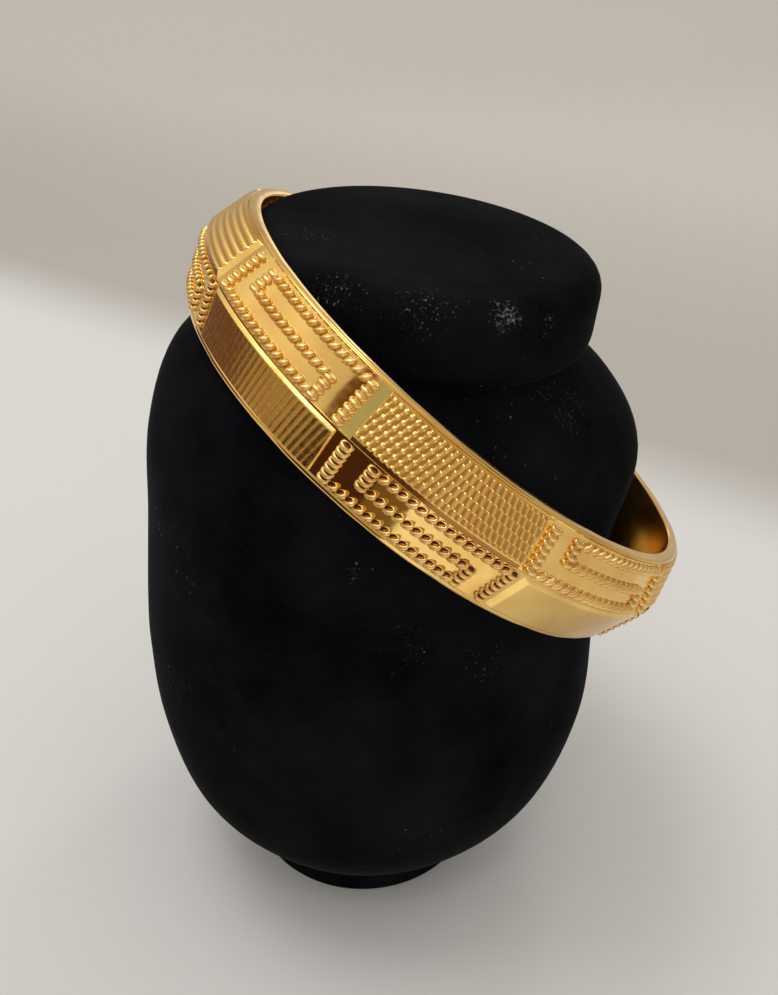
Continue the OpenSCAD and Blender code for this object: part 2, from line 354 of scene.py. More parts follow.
def drops(u, s, pad, side, lean, sharp, tail, step):
    """Height, from 0 to 1, of rows of drops with tails that point to the mid edge.

    Across, a drop is a power of a cosine whose wave is the pitch, and the power grows from the head
    to the tail, so that the tail is narrower. Along, it rises to the head, falls past it to the
    tail's height and ends before the next row's head. Each row is moved along by shear, and the
    height is the greatest of the rows there. lean is how far a tail leans along for each length,
    sharp is the head's power, tail is the tail's height as a share of the head's, and step is how
    far the drops sink between the rows, so that at a low one the drops run together into ridges.
    """
    fall = pad.fall * side
    shear = pad.shear if side > 0 else -pad.shear_low
    k0 = np.round((s + fall * u) / pad.row)
    best = np.zeros(np.broadcast(u, s).shape)
    for dk in (-1, 0, 1, 2):
        k = k0 + dk
        down = (k * pad.row - fall * u - s) / pad.row
        across = np.cos(pi * (u - k * shear - lean * down * pad.row) / pad.pitch) ** 2
        along = smooth(down, -0.22, 0.02) * (1 - (1 - tail) * smooth(down, 0.06, 0.36))
        along = 1 - step * (1 - along * (1 - smooth(down, 0.75, 1.15)))
        best = np.maximum(best, across ** (sharp + 2.2 * step * np.clip(down, 0, 1)) * along)
    return best


def beads(u, s, pad):
    """Height, from 0 to 1, of six ribs along the circumference, set with fine beads.

    A rib is the absolute value of a cosine across the pad. The beads are a cosine along it, which
    takes up to 0.45 of the height off the rib's upper part and slants a little from rib to rib.
    """
    ribs = np.abs(np.cos(pi * (s - pad.rib_first) / pad.rib_pitch)) ** 0.9
    fine = 0.5 + 0.5 * np.cos(2 * pi * (u + 0.18 * s) / pad.bead_pitch)
    return ribs * (1 - 0.45 * (1 - fine) * smooth(ribs, 0.3, 0.85))


# How each section's pad is cut: the pattern, and at either end how sharp the drops are, how high
# their tails are as a share of the heads, how far they sink between rows, how high they stand as a
# share of height, and their lean
PAD_CUTS = [
    ("beads", (0, 0), (0, 0), (0, 0), (1.5, 1.5), (0, 0)),
    ("drops", (2.4, 0.9), (0.8, 1.0), (0.9, 0.45), (0.14, 0.24), (-0.02, 0.16)),
    ("drops", (1.2, 1.8), (0.4, 1.0), (1.0, 1.0), (1.4, 1.6), (-0.28, 0.24)),
    ("plain", (0, 0), (0, 0), (0, 0), (0, 0), (0, 0)),
    ("drops", (1.2, 1.8), (0.4, 1.0), (1.0, 1.0), (1.4, 1.6), (-0.28, 0.24)),
    ("drops", (2.4, 0.9), (0.8, 1.0), (0.9, 0.45), (0.14, 0.24), (-0.02, 0.16)),
    ("beads", (0, 0), (0, 0), (0, 0), (1.5, 1.5), (0, 0)),
    ("plain", (0, 0), (0, 0), (0, 0), (0, 0), (0, 0)),
    ("drops", (1.2, 1.8), (0.4, 1.0), (1.0, 1.0), (1.4, 1.6), (-0.28, 0.24)),
    ("drops", (2.4, 0.9), (0.8, 1.0), (0.9, 0.45), (0.14, 0.24), (-0.02, 0.16)),
]


PAD_GROUPS = {
    "kada_pads_front_upper": (0, 2, 4),
    "kada_pads_front_lower": (1, 3),
    "kada_pads_rear_upper": (6, 8),
    "kada_pads_rear_lower": (5, 7, 9),
}


def pad_surface(k, pad, i):
    """One pad: a raised patch of the slope with chamfered edges and its cut pattern on top.

    The height is the least of four ramps, one from each edge, so that the corners are mitred, and
    the pattern is added where the ramps have reached the top.
    """
    side = 1 if i % 2 == 0 else -1
    start, span = section(k, i)
    edge_r = k.bore_r + k.edge_w
    margin = pad.margin_upper if side > 0 else pad.margin_lower
    size = span * edge_r - margin - pad.margin_end
    s0, far = (pad.upper_from, pad.far) if side > 0 else (pad.lower_from, pad.far_low)
    kind, *ends = PAD_CUTS[i]
    fine = 0.3 * MM if kind == "plain" else pad.grid
    near, edge = 0.02 * MM, 0.09 * MM
    u = np.linspace(edge, size - edge, int((size - 2 * edge) / fine))
    u = np.concatenate([[0, near], u, [size - near, size]])[:, None]
    s = np.linspace(s0 + near * 2, far - edge, int((far - s0) / pad.grid))
    s = np.concatenate([[s0], s, [far - near, far]])[None, :]
    wall = 0.09 * MM
    chamfer = pad.chamfer if side > 0 else pad.chamfer_low
    first_w, last_w = (wall, pad.end_bevel) if side > 0 else (pad.end_bevel, wall)
    ramps = np.stack(np.broadcast_arrays(
        u / first_w, (size - u) / last_w, (s - s0) / chamfer, (far - s) / wall))
    ramp = np.clip(ramps.min(0), 0, 1)
    on_top = smooth(ramps.min(0), 1.0, 1.25)
    # Painted shade, dark brown, on the chamfer beside the mid edge of an upper pad
    shadowed = 0.85 * smooth(ramps[2], 1.0, 0.9) * smooth(ramps[:2].min(0), 0.6, 1.2) * (side > 0)
    far_end = smooth(u, 0.2 * size, 0.8 * size)
    sharp, tail, step, tall, lean = (first * (1 - far_end) + last * far_end for first, last in ends)
    if kind == "drops":
        cut = drops(u, s, pad, side, lean, sharp, tail, step)
    elif kind == "beads":
        cut = beads(u, s, pad)
    else:
        cut = np.zeros(ramp.shape)
    rise = -k.field_depth + ramp * (pad.top + k.field_depth) + cut * tall * on_top * pad.height
    # Two more columns, under the field, close the patch from below
    low = np.full((len(u), 1), -k.field_depth - 0.15 * MM)
    rise = np.concatenate([rise, low, low], 1)
    s = np.concatenate([s, [[far, s0]]], 1)
    theta = start + (margin + u) / edge_r
    radius, height = on_slope(k, side, s, rise)
    # Painted shade in the valleys of the pattern: amber on the lower pads, amber to dark brown on
    # the upper ones
    shown = 1 - on_top * (kind != "plain") * (0.75 if side > 0 else 0.35) * (1 - np.clip(cut, 0, 1))
    shown = np.minimum(shown, 1 - shadowed)
    return loft(place(k, radius, theta, height), False), np.concatenate([shown, low * 0, low * 0], 1)


# Meander: bars are [place as a share of the section, first run, last run]
BARS = [(0.07, 0, 2), (0.22, 1, 2), (0.82, 0, 1), (0.975, 0, 2)]
# Runs are [number of the run, starting bar, ending bar]
RUNS = [(0, 0, 2), (1, 1, 2), (2, 1, 3)]
# How far each section's first two bars are moved, as a share of the section
BAR_MOVES = [0, 0, 0, -0.04, 0, 0, 0, 0, 0, 0]


def loop_places(k, rope, i):
    """Angle, distance from the mid edge and whether in a run, of each loop of a meander."""
    side = 1 if i % 2 else -1
    start, span = section(k, i)
    edge_r = k.bore_r + k.edge_w

    def run_s(n):
        return rope.first + rope.step * (n if side > 0 else 2 - n)

    at = [bar[0] + (BAR_MOVES[i] if n < 2 else 0) for n, bar in enumerate(BARS)]
    theta, s, run = [], [], []
    for place_share, (_, n1, n2) in zip(at, BARS):
        count = rope.per_step * (n2 - n1) + 1
        theta.append(np.full(count, start + span * place_share))
        s.append(np.linspace(run_s(n1), run_s(n2), count))
        run.append(np.zeros(count))
    for n, b1, b2 in RUNS:
        t1, t2 = start + span * at[b1], start + span * at[b2]
        count = round((t2 - t1) * edge_r / rope.pitch_run)
        theta.append(np.linspace(t1, t2, count + 1)[1:-1])
        s.append(np.full(count - 1, run_s(n)))
        run.append(np.ones(count - 1))
    return side, np.concatenate(theta), np.concatenate(s), np.concatenate(run)


# Section of a loop's wire: angle from straight out over its top to its inner side, and how free of
# painted shade it is; the first row is the eye's floor and the last is under the field
WIRE_ANGLE, WIRE_SHOWN = 0, 1
WIRE_ROWS = np.array([[205, 0.0], [160, 0.0], [124, 0.9], [80, 1.0], [32, 1.0], [-20, 0.85],
                      [-30, 0.6]])


def loops(k, rope, i, around=12):
    """The loops of one section's meander.

    A loop's middle line is an ellipse along the slope whose lower side stands prouder and is
    thicker. In a run the right end is turned up and stands prouder, so that each loop laps over its
    neighbour. The wire is an arc carried along that line, from the eye's floor to under the field.
    """
    side, theta, s, run = loop_places(k, rope, i)
    _, along, out, _ = slope(k, side)
    phi = np.linspace(0, 2 * pi, around, endpoint=False)[None, None]
    psi = np.radians(WIRE_ROWS[:, WIRE_ANGLE])[None, :, None]
    run = run[:, None, None]
    wire = rope.wire * (1 - rope.thin * np.sin(phi))
    normal = np.stack(
        np.broadcast_arrays(np.cos(phi) / rope.half_long, np.sin(phi) / rope.half_high))
    normal /= np.linalg.norm(normal, axis=0)
    u = rope.half_long * np.cos(phi) + wire * np.cos(psi) * normal[0] + 0 * run
    v = rope.half_high * np.sin(phi) + wire * np.cos(psi) * normal[1] + 0 * run
    w = rope.lift - rope.slant * np.sin(phi) + run * rope.lap * np.cos(phi) + wire * np.sin(psi)
    w[:, 0], w[:, -1] = 0.06 * MM, -0.12 * MM  # the eye's floor, and the edge under the field
    jitter = np.sin(np.arange(len(theta)) * 2.4 + i)[:, None, None]  # soldered by hand
    turn = jitter * 0.03 + run * rope.twist
    u, v = u * np.cos(turn) - v * np.sin(turn), u * np.sin(turn) + v * np.cos(turn)
    w = w - k.field_depth + jitter * 0.012 * MM
    edge = slope(k, side)[0]
    dist = s[:, None, None] + side * v
    radius = edge[0] + dist * along[0] + w * out[0]
    height = edge[1] + dist * along[1] + w * out[1]
    points = place(k, radius, theta[:, None, None] + u / radius, height)
    # Painted shade in the eyes and at the wire's foot: on the upper slope no lower than 0.75, a
    # faint amber, and on the lower slope down to 0.06, the pits' dark brown
    shown = np.maximum(WIRE_ROWS[:, WIRE_SHOWN], 0.75 if side > 0 else 0.06)
    shown = np.broadcast_to(shown[None, :, None], u.shape)
    return [loft(p, False) for p in points], shown.reshape(-1)


# Bust

# Body: [share of lower_h, share of upper_h, half widths along X and Y as shares of body_w / 2,
# middle along X as a share of top_shift, lean as a share of lean]
BODY_ROWS = np.array([
    [0.00, 0.00, 0.50, 0.49, 0.00, 0.0],
    [0.07, 0.00, 0.58, 0.57, 0.00, 0.0],
    [0.20, 0.00, 0.73, 0.73, 0.14, 0.0],
    [0.42, 0.00, 0.90, 0.90, 0.21, 0.0],
    [0.73, 0.00, 0.99, 0.99, 0.29, 0.0],
    [1.00, 0.00, 1.00, 0.99, 0.28, 0.0],
    [1.00, 0.15, 0.99, 0.98, 0.29, 0.0],
    [1.00, 0.44, 0.99, 0.98, 0.57, 0.1],
    [1.00, 0.69, 1.00, 1.00, 0.89, 0.4],
    [1.00, 0.89, 0.87, 0.88, 0.88, 0.8],
    [1.00, 1.00, 0.64, 0.72, 1.00, 1.0],
])


def body(b, per_row=8, segments=128):
    """The body: ellipses stacked along a smooth curve through the rows, the upper ones leaning."""
    i = np.repeat(np.arange(len(BODY_ROWS) - 1), per_row)
    t = np.tile(np.arange(per_row) / per_row, len(BODY_ROWS) - 1)[:, None]
    last = len(BODY_ROWS) - 1
    p0, p1, p2, p3 = (BODY_ROWS[np.clip(i + n, 0, last)] for n in (-1, 0, 1, 2))
    rows = 0.5 * (2 * p1 + (p2 - p0) * t + (2 * p0 - 5 * p1 + 4 * p2 - p3) * t ** 2
                  + (3 * p1 - p0 - 3 * p2 + p3) * t ** 3)
    rows = np.concatenate([rows, BODY_ROWS[-1:]])
    low, up, hx, hy, mid, lean = (rows[:, n, None] for n in range(6))
    a = np.linspace(0, 2 * pi, segments, endpoint=False)[None]
    hx, hy = hx * b.body_w / 2, hy * b.body_w / 2
    base = b.foot_h + b.gap
    points = np.stack([
        mid * b.top_shift + hx * np.cos(a) * np.cos(lean * b.lean),
        hy * np.sin(a) + 0 * lean,
        base + low * b.lower_h + up * b.upper_h - hx * np.cos(a) * np.sin(lean * b.lean)], -1)
    return loft(points, False)


def neck(b, steps=8, segments=128):
    """The neck cap: an upright elliptic disc with rounded edges, leaning with the body's top."""
    a = np.linspace(0, pi / 2, steps)
    inset = np.concatenate([1 - np.cos(a - pi / 2), 1 - np.cos(a)]) * b.neck_round
    z = np.concatenate([b.neck_round * (1 - np.cos(a)), b.neck_h - b.neck_round * (1 - np.sin(a))])
    inset[steps - 1] = 0
    rings = np.array([1.0, 0.97, 0.9, 0.75, 0.5, 0.2, 0.02])
    hx = (b.neck_reach + b.neck_rear) / 2 - inset
    hy = b.neck_w / 2 - inset
    hx = np.concatenate([hx, hx[-1] * rings[1:]])
    hy = np.concatenate([hy, hy[-1] * rings[1:]])
    z = np.concatenate([z, np.full(len(rings) - 1, z[-1])])
    t = np.linspace(0, 2 * pi, segments, endpoint=False)[None]
    x = (b.neck_reach - b.neck_rear) / 2 + hx[:, None] * np.cos(t)
    y = hy[:, None] * np.sin(t)
    base = b.foot_h + 2 * b.gap + b.lower_h + b.upper_h
    points = np.stack([
        b.top_shift + x * cos(b.lean) + z[:, None] * sin(b.lean),
        y,
        base - x * sin(b.lean) + z[:, None] * cos(b.lean)], -1)
    return loft(points, False)


def foot(b, steps=5, segments=96):
    """The foot: a low disc with its upper edge rounded more than its lower one."""
    a = np.linspace(0, pi / 2, steps)
    low, high = b.foot_h / 6, b.foot_h / 3
    r = np.concatenate([b.foot_r - low * (1 - np.sin(a)), b.foot_r - high * (1 - np.cos(a))])
    z = np.concatenate([low * (1 - np.cos(a)), b.foot_h - high * (1 - np.sin(a))])
    r = np.concatenate([r, [r[-1] * 0.5, r[-1] * 0.02]])
    z = np.concatenate([z, [b.foot_h, b.foot_h]])
    t = np.linspace(0, 2 * pi, segments, endpoint=False)[None]
    return loft(np.stack([r[:, None] * np.cos(t), r[:, None] * np.sin(t), z[:, None] + 0 * t], -1),
                False)


# Materials


def add(tree, kind, inputs=None, **settings):
    """Adds a node with its settings; an input is a value, or an output socket to link.

    A colour mix has its two colours at the inputs 6 and 7, and its colour at the output 2.
    """
    new = tree.nodes.new(kind)
    for key, value in settings.items():
        setattr(new, key, value)
    for key, value in (inputs or {}).items():
        socket = new.inputs[key]
        if isinstance(value, bpy.types.NodeSocket):
            tree.links.new(value, socket)
        else:
            socket.default_value = value
    return new


def blank(name):
    """A new material with an empty node tree."""
    material = bpy.data.materials.new(name)
    material.use_nodes = True
    material.node_tree.nodes.clear()
    return material, material.node_tree


def gold_plating(c, name, clean, smoothest, roughest, relief):
    """Gold plating over cast and hand-polished brass.

    It is a bright metal with fine polishing lines, a faint orange peel and amber stains. On the pads
    and the rope it also has painted shade: amber in corners and valleys, dark brown at the eyes'
    bottom.
    The stains are clouds about 5 mm across and the orange peel has lumps of 2.4 mm. The wheel's
    marks are 0.7 mm long, coarser than real ones, so that they show.
    """
    material, tree = blank(name)
    where = add(tree, "ShaderNodeTexCoord").outputs["Object"]
    cloud = add(tree, "ShaderNodeTexNoise", {"Vector": where, "Scale": 190.0, "Detail": 5.0})
    fine = add(tree, "ShaderNodeTexNoise", {"Vector": where, "Scale": 1400.0, "Detail": 3.0})
    peel = add(tree, "ShaderNodeTexNoise", {"Vector": where, "Scale": 420.0, "Detail": 2.0})
    amount = add(tree, "ShaderNodeMapRange", {
        "Value": cloud.outputs["Fac"], "From Min": 0.42, "From Max": 0.72, "To Max": 0.5}).outputs[0]
    base = (*getattr(c, clean), 1)
    if relief:
        # Painted shade: where this attribute is low the plating is painted amber, and below 0.4 the
        # dark brown of the pits
        shown = add(tree, "ShaderNodeAttribute", attribute_name="shown").outputs["Fac"]
        dim = add(tree, "ShaderNodeMapRange", {
            "Value": shown, "From Min": 0.1, "From Max": 0.9, "To Min": 1.0, "To Max": 0.0})
        amount = add(tree, "ShaderNodeMath", {0: dim.outputs[0], 1: amount},
                     operation="MAXIMUM").outputs[0]
        deep = add(tree, "ShaderNodeMapRange", {"Value": shown, "From Max": 0.4, "To Min": 1.0,
                                                "To Max": 0.0})
        low = add(tree, "ShaderNodeMix", {"Factor": deep.outputs[0], 6: (*c.amber, 1),
                                          7: (*c.pit_shade, 1)}, data_type="RGBA").outputs[2]
    else:
        low = (*c.amber, 1)
        satin = add(tree, "ShaderNodeAttribute", attribute_name="satin").outputs["Fac"]
        smoothest = add(tree, "ShaderNodeMapRange", {"Value": satin, "To Min": smoothest,
                                                     "To Max": 0.13}).outputs[0]
        roughest = add(tree, "ShaderNodeMapRange", {"Value": satin, "To Min": roughest,
                                                    "To Max": 0.22}).outputs[0]
    tint = add(tree, "ShaderNodeMix", {"Factor": amount, 6: base, 7: low}, data_type="RGBA")
    rough = add(tree, "ShaderNodeMapRange", {"Value": fine.outputs["Fac"], "From Min": 0.25,
                                             "From Max": 0.75, "To Min": smoothest,
                                             "To Max": roughest})
    bump = add(tree, "ShaderNodeBump", {"Height": peel.outputs["Fac"], "Strength": 0.3,
                                        "Distance": 0.00003})
    shader = add(tree, "ShaderNodeBsdfPrincipled", {
        "Base Color": tint.outputs[2], "Metallic": 1.0, "Roughness": rough.outputs[0],
        "Normal": bump.outputs[0]})
    add(tree, "ShaderNodeOutputMaterial", {"Surface": shader.outputs[0]})
    return material


# Dust on the velvet: middle and radius in millimetres, and how thick it lies
DUST = [
    ((12.4, -21.6, 83.9), 3.2, 1.15), ((5.2, -21.9, 85.1), 7.0, 0.62),
    ((-3.1, -18.4, 85.7), 7.0, 0.6), ((16.9, -19.8, 82.5), 4.0, 0.5),
    ((-4.5, -4.1, 86.8), 6.0, 0.6), ((20.9, -15.3, 72.6), 5.0, 0.6),
    ((17.3, -16.9, 74.0), 3.5, 0.6), ((19.8, -18.2, 70.9), 4.0, 0.55),
    ((3.4, -28.2, 50.9), 6.0, 0.5), ((11.0, -26.5, 46.8), 6.0, 0.5),
    ((-2.5, -27.8, 60.2), 2.0, 0.6),
]


def black_velvet(c, name):
    """Cotton velvet glued over the bust: a short dense pile, near black, with a grazing sheen.

    Dust and lint lie on it, and strokes across the pile leave paler marks. The strokes are about
    18 mm long, the drifts of lint 14 mm and their specks 1.3 mm apart. The pile's tips and the
    crumbs of dust are drawn about 0.4 mm across, coarser than real ones, so that they show.
    """
    material, tree = blank(name)
    where = add(tree, "ShaderNodeTexCoord").outputs["Object"]
    pile = add(tree, "ShaderNodeTexNoise", {"Vector": where, "Scale": 2600.0, "Detail": 2.0})
    nap = add(tree, "ShaderNodeTexNoise", {"Vector": where, "Scale": 55.0, "Detail": 5.0,
                                           "Roughness": 0.6})
    speck = add(tree, "ShaderNodeTexVoronoi", {"Vector": where, "Scale": 750.0})
    speck_on = add(tree, "ShaderNodeMapRange", {
        "Value": speck.outputs["Distance"], "From Min": 0.05, "From Max": 0.14, "To Min": 0.8,
        "To Max": 0.0})
    drift = add(tree, "ShaderNodeTexNoise", {"Vector": where, "Scale": 70.0, "Detail": 3.0})
    drift_on = add(tree, "ShaderNodeMapRange", {
        "Value": drift.outputs["Fac"], "From Min": 0.56, "From Max": 0.72, "To Max": 0.35})
    lint = add(tree, "ShaderNodeMath", {0: speck_on.outputs[0], 1: drift_on.outputs[0]},
               operation="MULTIPLY")
    dusty = 0.0
    for middle, radius, thick in DUST:
        away = add(tree, "ShaderNodeVectorMath", {0: where, 1: tuple(v * MM for v in middle)},
                   operation="DISTANCE")
        near = add(tree, "ShaderNodeMapRange", {
            "Value": away.outputs["Value"], "From Min": 0.0, "From Max": radius * MM,
            "To Min": thick, "To Max": 0.0}, interpolation_type="SMOOTHSTEP")
        dusty = add(tree, "ShaderNodeMath", {0: near.outputs[0], 1: dusty},
                    operation="MAXIMUM").outputs[0]
    crumb = add(tree, "ShaderNodeTexNoise", {"Vector": where, "Scale": 2800.0, "Detail": 4.0,
                                             "Roughness": 0.7})
    denser = add(tree, "ShaderNodeMath", {0: dusty, 1: 0.2, 2: crumb.outputs["Fac"]},
                 operation="MULTIPLY_ADD")
    dust = add(tree, "ShaderNodeMapRange", {
        "Value": denser.outputs[0], "From Min": 0.7, "From Max": 0.86, "To Max": 0.42})
    lint = add(tree, "ShaderNodeMath", {0: lint.outputs[0], 1: dust.outputs[0]},
               operation="MAXIMUM")
    stroked = add(tree, "ShaderNodeMapRange", {"Value": nap.outputs["Fac"], "From Min": 0.36,
                                               "From Max": 0.66, "To Min": 0.0, "To Max": 1.0})
    paler = tuple(2.2 * v for v in c.velvet)
    darker = tuple(0.35 * v for v in c.velvet)
    pile_tint = add(tree, "ShaderNodeMix", {"Factor": stroked.outputs[0], 6: (*darker, 1),
                                            7: (*paler, 1)}, data_type="RGBA")
    tint = add(tree, "ShaderNodeMix", {"Factor": lint.outputs[0], 6: pile_tint.outputs[2],
                                       7: (*c.lint, 1)}, data_type="RGBA")
    bump = add(tree, "ShaderNodeBump", {"Height": pile.outputs["Fac"], "Strength": 0.4,
                                        "Distance": 0.0001})
    shader = add(tree, "ShaderNodeBsdfPrincipled", {
        "Base Color": tint.outputs[2], "Roughness": 0.9, "Specular IOR Level": 0.03,
        "Sheen Weight": 0.06, "Sheen Roughness": 0.2, "Sheen Tint": (*c.velvet_sheen, 1),
        "Normal": bump.outputs[0]})
    add(tree, "ShaderNodeOutputMaterial", {"Surface": shader.outputs[0]})
    return material


def matt_paint(c, name):
    """Emulsion paint on a board and the wall behind it, matt and even, faintly mottled.

    The white of the board passes softly into the beige of the wall, as where a sheet of paper is
    swept up behind a subject. The mottling has patches of about 170 mm.
    """
    material, tree = blank(name)
    studio = bpy.context.scene.kada_studio
    where = add(tree, "ShaderNodeTexCoord").outputs["Object"]
    across = (cos(studio.board_turn), sin(studio.board_turn), 0.0)
    behind = add(tree, "ShaderNodeVectorMath", {0: where, 1: across}, operation="DOT_PRODUCT")
    edge = add(tree, "ShaderNodeMapRange", {
        "Value": behind.outputs["Value"], "From Min": studio.board_edge - 0.02,
        "From Max": studio.board_edge + 0.025}, interpolation_type="SMOOTHSTEP")
    mottle = add(tree, "ShaderNodeTexNoise", {"Vector": where, "Scale": 6.0, "Detail": 4.0})
    darker = tuple(0.94 * v for v in c.board)
    white = add(tree, "ShaderNodeMix", {"Factor": mottle.outputs["Fac"], 6: (*darker, 1),
                                        7: (*c.board, 1)}, data_type="RGBA")
    far = add(tree, "ShaderNodeMapRange", {
        "Value": behind.outputs["Value"], "From Min": studio.board_edge + 0.04,
        "From Max": studio.board_edge + 0.35}, interpolation_type="SMOOTHSTEP")
    # Painted shade: the wall is 24 % darker just behind the board's edge and lightens over 0.3 m
    shaded = tuple(0.76 * v for v in c.wall)
    beige = add(tree, "ShaderNodeMix", {"Factor": far.outputs[0], 6: (*shaded, 1),
                                        7: (*c.wall, 1)}, data_type="RGBA")
    tint = add(tree, "ShaderNodeMix", {"Factor": edge.outputs[0], 6: white.outputs[2],
                                       7: beige.outputs[2]}, data_type="RGBA")
    shader = add(tree, "ShaderNodeBsdfPrincipled", {
        "Base Color": tint.outputs[2], "Roughness": 0.9, "Specular IOR Level": 0.0})
    add(tree, "ShaderNodeOutputMaterial", {"Surface": shader.outputs[0]})
    return material


def glow(colour_hex, strength):
    """A reflecting card's light: an even glow that only shows in the metal."""
    material, tree = blank(f"card_{colour_hex[1:]}")
    light = add(tree, "ShaderNodeEmission", {"Color": (*linear(colour_hex), 1),
                                             "Strength": strength})
    add(tree, "ShaderNodeOutputMaterial", {"Surface": light.outputs[0]})
    return material


def shared(name, make, *settings):
    """The material of that name, made the first time."""
    return bpy.data.materials.get(name) or make(bpy.context.scene.kada_colours, name, *settings)


def polished_gold():
    """The band, buffed on a wheel."""
    return shared("gold_plating_polished", gold_plating, "gold", 0.05, 0.13, False)


def cut_gold():
    """The pads, cut with a wheel after casting and only lightly buffed."""
    return shared("gold_plating_cut", gold_plating, "gold", 0.14, 0.26, True)


def cast_gold():
    """The rope, soldered on and satin where the wheel skips it."""
    return shared("gold_plating_cast", gold_plating, "rope_gold", 0.28, 0.44, True)


def finish(thing, node):
    """Lets a finished piece stand for a CAD node, on the one body that there is."""
    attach(thing, "root")
    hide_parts(node)


class KADA_OT_band(bpy.types.Operator):
    """Builds the kada's band with its rims, fields and mid edge"""

    bl_idname = "kada.band"
    bl_label = "Band"

    def execute(self, context):
        surface, satin = band(context.scene.kada_sizes)
        thing = piece("kada_band", [surface], polished_gold(), {"satin": satin})
        finish(thing, "kada")
        return {"FINISHED"}


class KADA_OT_pads(bpy.types.Operator):
    """Builds the kada's pads with their cut patterns"""

    bl_idname = "kada.pads"
    bl_label = "Pads"

    def execute(self, context):
        k, pad = context.scene.kada_sizes, context.scene.kada_pads
        for name, sections in PAD_GROUPS.items():
            made = [pad_surface(k, pad, i) for i in sections]
            shown = np.concatenate([h.reshape(-1) for _, h in made])
            thing = piece(name, [m for m, _ in made], cut_gold(), {"shown": shown})
            finish(thing, "kada")
        return {"FINISHED"}


class KADA_OT_rope(bpy.types.Operator):
    """Builds the meanders of rope wire"""

    bl_idname = "kada.rope"
    bl_label = "Rope"

    def execute(self, context):
        k, rope = context.scene.kada_sizes, context.scene.kada_rope
        made = [loops(k, rope, i) for i in range(10)]
        shown = np.concatenate([h for _, h in made])
        thing = piece("kada_rope", [m for ms, _ in made for m in ms], cast_gold(),
                      {"shown": shown})
        finish(thing, "kada")
        return {"FINISHED"}


class KADA_OT_bust(bpy.types.Operator):
    """Builds the bust: foot, body and neck cap"""

    bl_idname = "kada.bust"
    bl_label = "Bust"

    def execute(self, context):
        b = context.scene.kada_bust
        for name, node, surface in (("velvet_body", "bust_body", body),
                                    ("velvet_neck", "bust_neck", neck),
                                    ("velvet_foot", "bust_foot", foot)):
            thing = piece(name, [surface(b)], shared("cotton_velvet", black_velvet))
            # In the photo the kada's upper rim reflects the room above the neck cap, not the cap
            thing.visible_glossy = node != "bust_neck"
            finish(thing, node)
        return {"FINISHED"}


def sweep(size, rows=60, cols=40):
    """The floor: a sheet that runs level and rises in a smooth curve far behind the bust."""
    v = np.linspace(-1, 1, rows)[:, None]
    u = np.linspace(-1, 1, cols)[None]
    x, y = u * size / 2 + 0 * v, v * size / 2 + 0 * u
    # 0.9 m high from 0.75 to 2.1 m behind, and 0.1 mm under the foot
    return np.stack([x, y, 0.9 * smooth(y, 0.75, 2.1) - 0.1 * MM], -1)


# Cards seen only in the metal, painted reflections bright and dark: name, colour, strength and the
# four corners in millimetres
CARDS = [
    ("card_left", "#694E4A", 1.0,
     [(-190, 190, 0.4), (-320, 40, 0.4), (-320, 40, 110), (-190, 190, 110)]),
    ("card_left_near", "#A38E6C", 1.0,
     [(-320, 40, 0.4), (-260, -150, 0.4), (-260, -150, 110), (-320, 40, 110)]),
    ("card_floor_dark", "#45291C", 1.0,
     [(-320, -190, 0.5), (-92, -190, 0.5), (-92, -50, 0.5), (-320, -50, 0.5)]),
    ("card_floor_mid", "#77623F", 1.0,
     [(-92, -190, 0.5), (-52, -190, 0.5), (-52, -60, 0.5), (-92, -60, 0.5)]),
    ("card_floor_light", "#FFFFFF", 1.0,
     [(-52, -190, 0.5), (60, -190, 0.5), (60, -60, 0.5), (-52, -60, 0.5)]),
    ("card_back_light", "#FFF2D6", 1.5,
     [(130, 560, 78), (266, 560, 78), (266, 560, 150), (130, 560, 150)]),
    ("card_back_glint", "#FFFFFF", 6.0,
     [(224, 555, 84), (245, 555, 84), (245, 555, 104), (224, 555, 104)]),
    ("card_back_dark", "#5A3A18", 1.0,
     [(312, 560, 0.5), (378, 560, 0.5), (378, 560, 52), (312, 560, 52)]),
]
# Lamps: name, power's property, size, place and aim, in metres
LAMPS = [
    ("key", "key_power", 0.4, (-0.24, 0.06, 0.95), (0, 0, 0.03)),
    ("rim_light", "rim_power", 0.12, (0.29, 0.24, 0.78), (0, 0, 0.05)),
    ("front_light", "front_power", 0.08, (-0.05, -0.42, 0.80), (0, 0, 0.05)),
]


class KADA_OT_stage(bpy.types.Operator):
    """Builds the pale floor, the soft lights and the camera"""

    bl_idname = "kada.stage"
    bl_label = "Stage"

    def execute(self, context):
        scene, studio = context.scene, context.scene.kada_studio
        top = sweep(studio.floor_size)
        low = top - np.array([0, 0, 4 * MM])
        sheet = np.concatenate([top, low[:, ::-1]], 1)
        piece("floor", [loft(sheet, False)], shared("matt_painted_board", matt_paint))
        for name, hue, strength, corners in CARDS:
            mesh = bpy.data.meshes.new(name)
            mesh.from_pydata((np.array(corners) * MM).tolist(), [], [(0, 1, 2, 3)])
            mesh.materials.append(glow(hue, strength))
            card = bpy.data.objects.new(name, mesh)
            card.visible_camera = card.visible_diffuse = card.visible_shadow = False
            card.visible_transmission = card.visible_volume_scatter = False
            scene.collection.objects.link(card)
        for name, power, size, at, towards in LAMPS:
            lamp = bpy.data.lights.new(name, "AREA")
            lamp.energy, lamp.size = getattr(studio, power), size
            thing = bpy.data.objects.new(name, lamp)
            thing.matrix_world = Matrix.Translation(at) @ aim(np.array(towards) - np.array(at))
            scene.collection.objects.link(thing)
        surroundings(scene, studio.ambient)
        camera(scene)
        return {"FINISHED"}


def aim(direction, up=(0, 0, 1)):
    """Matrix that turns -Z to a direction and keeps Y upwards."""
    back = -np.asarray(direction, float)
    back /= np.linalg.norm(back)
    right = np.cross(up, back)
    right /= np.linalg.norm(right)
    above = np.cross(back, right)
    return Matrix([[*row, 0] for row in np.stack([right, above, back], 1).tolist()]
                  + [[0, 0, 0, 1]])
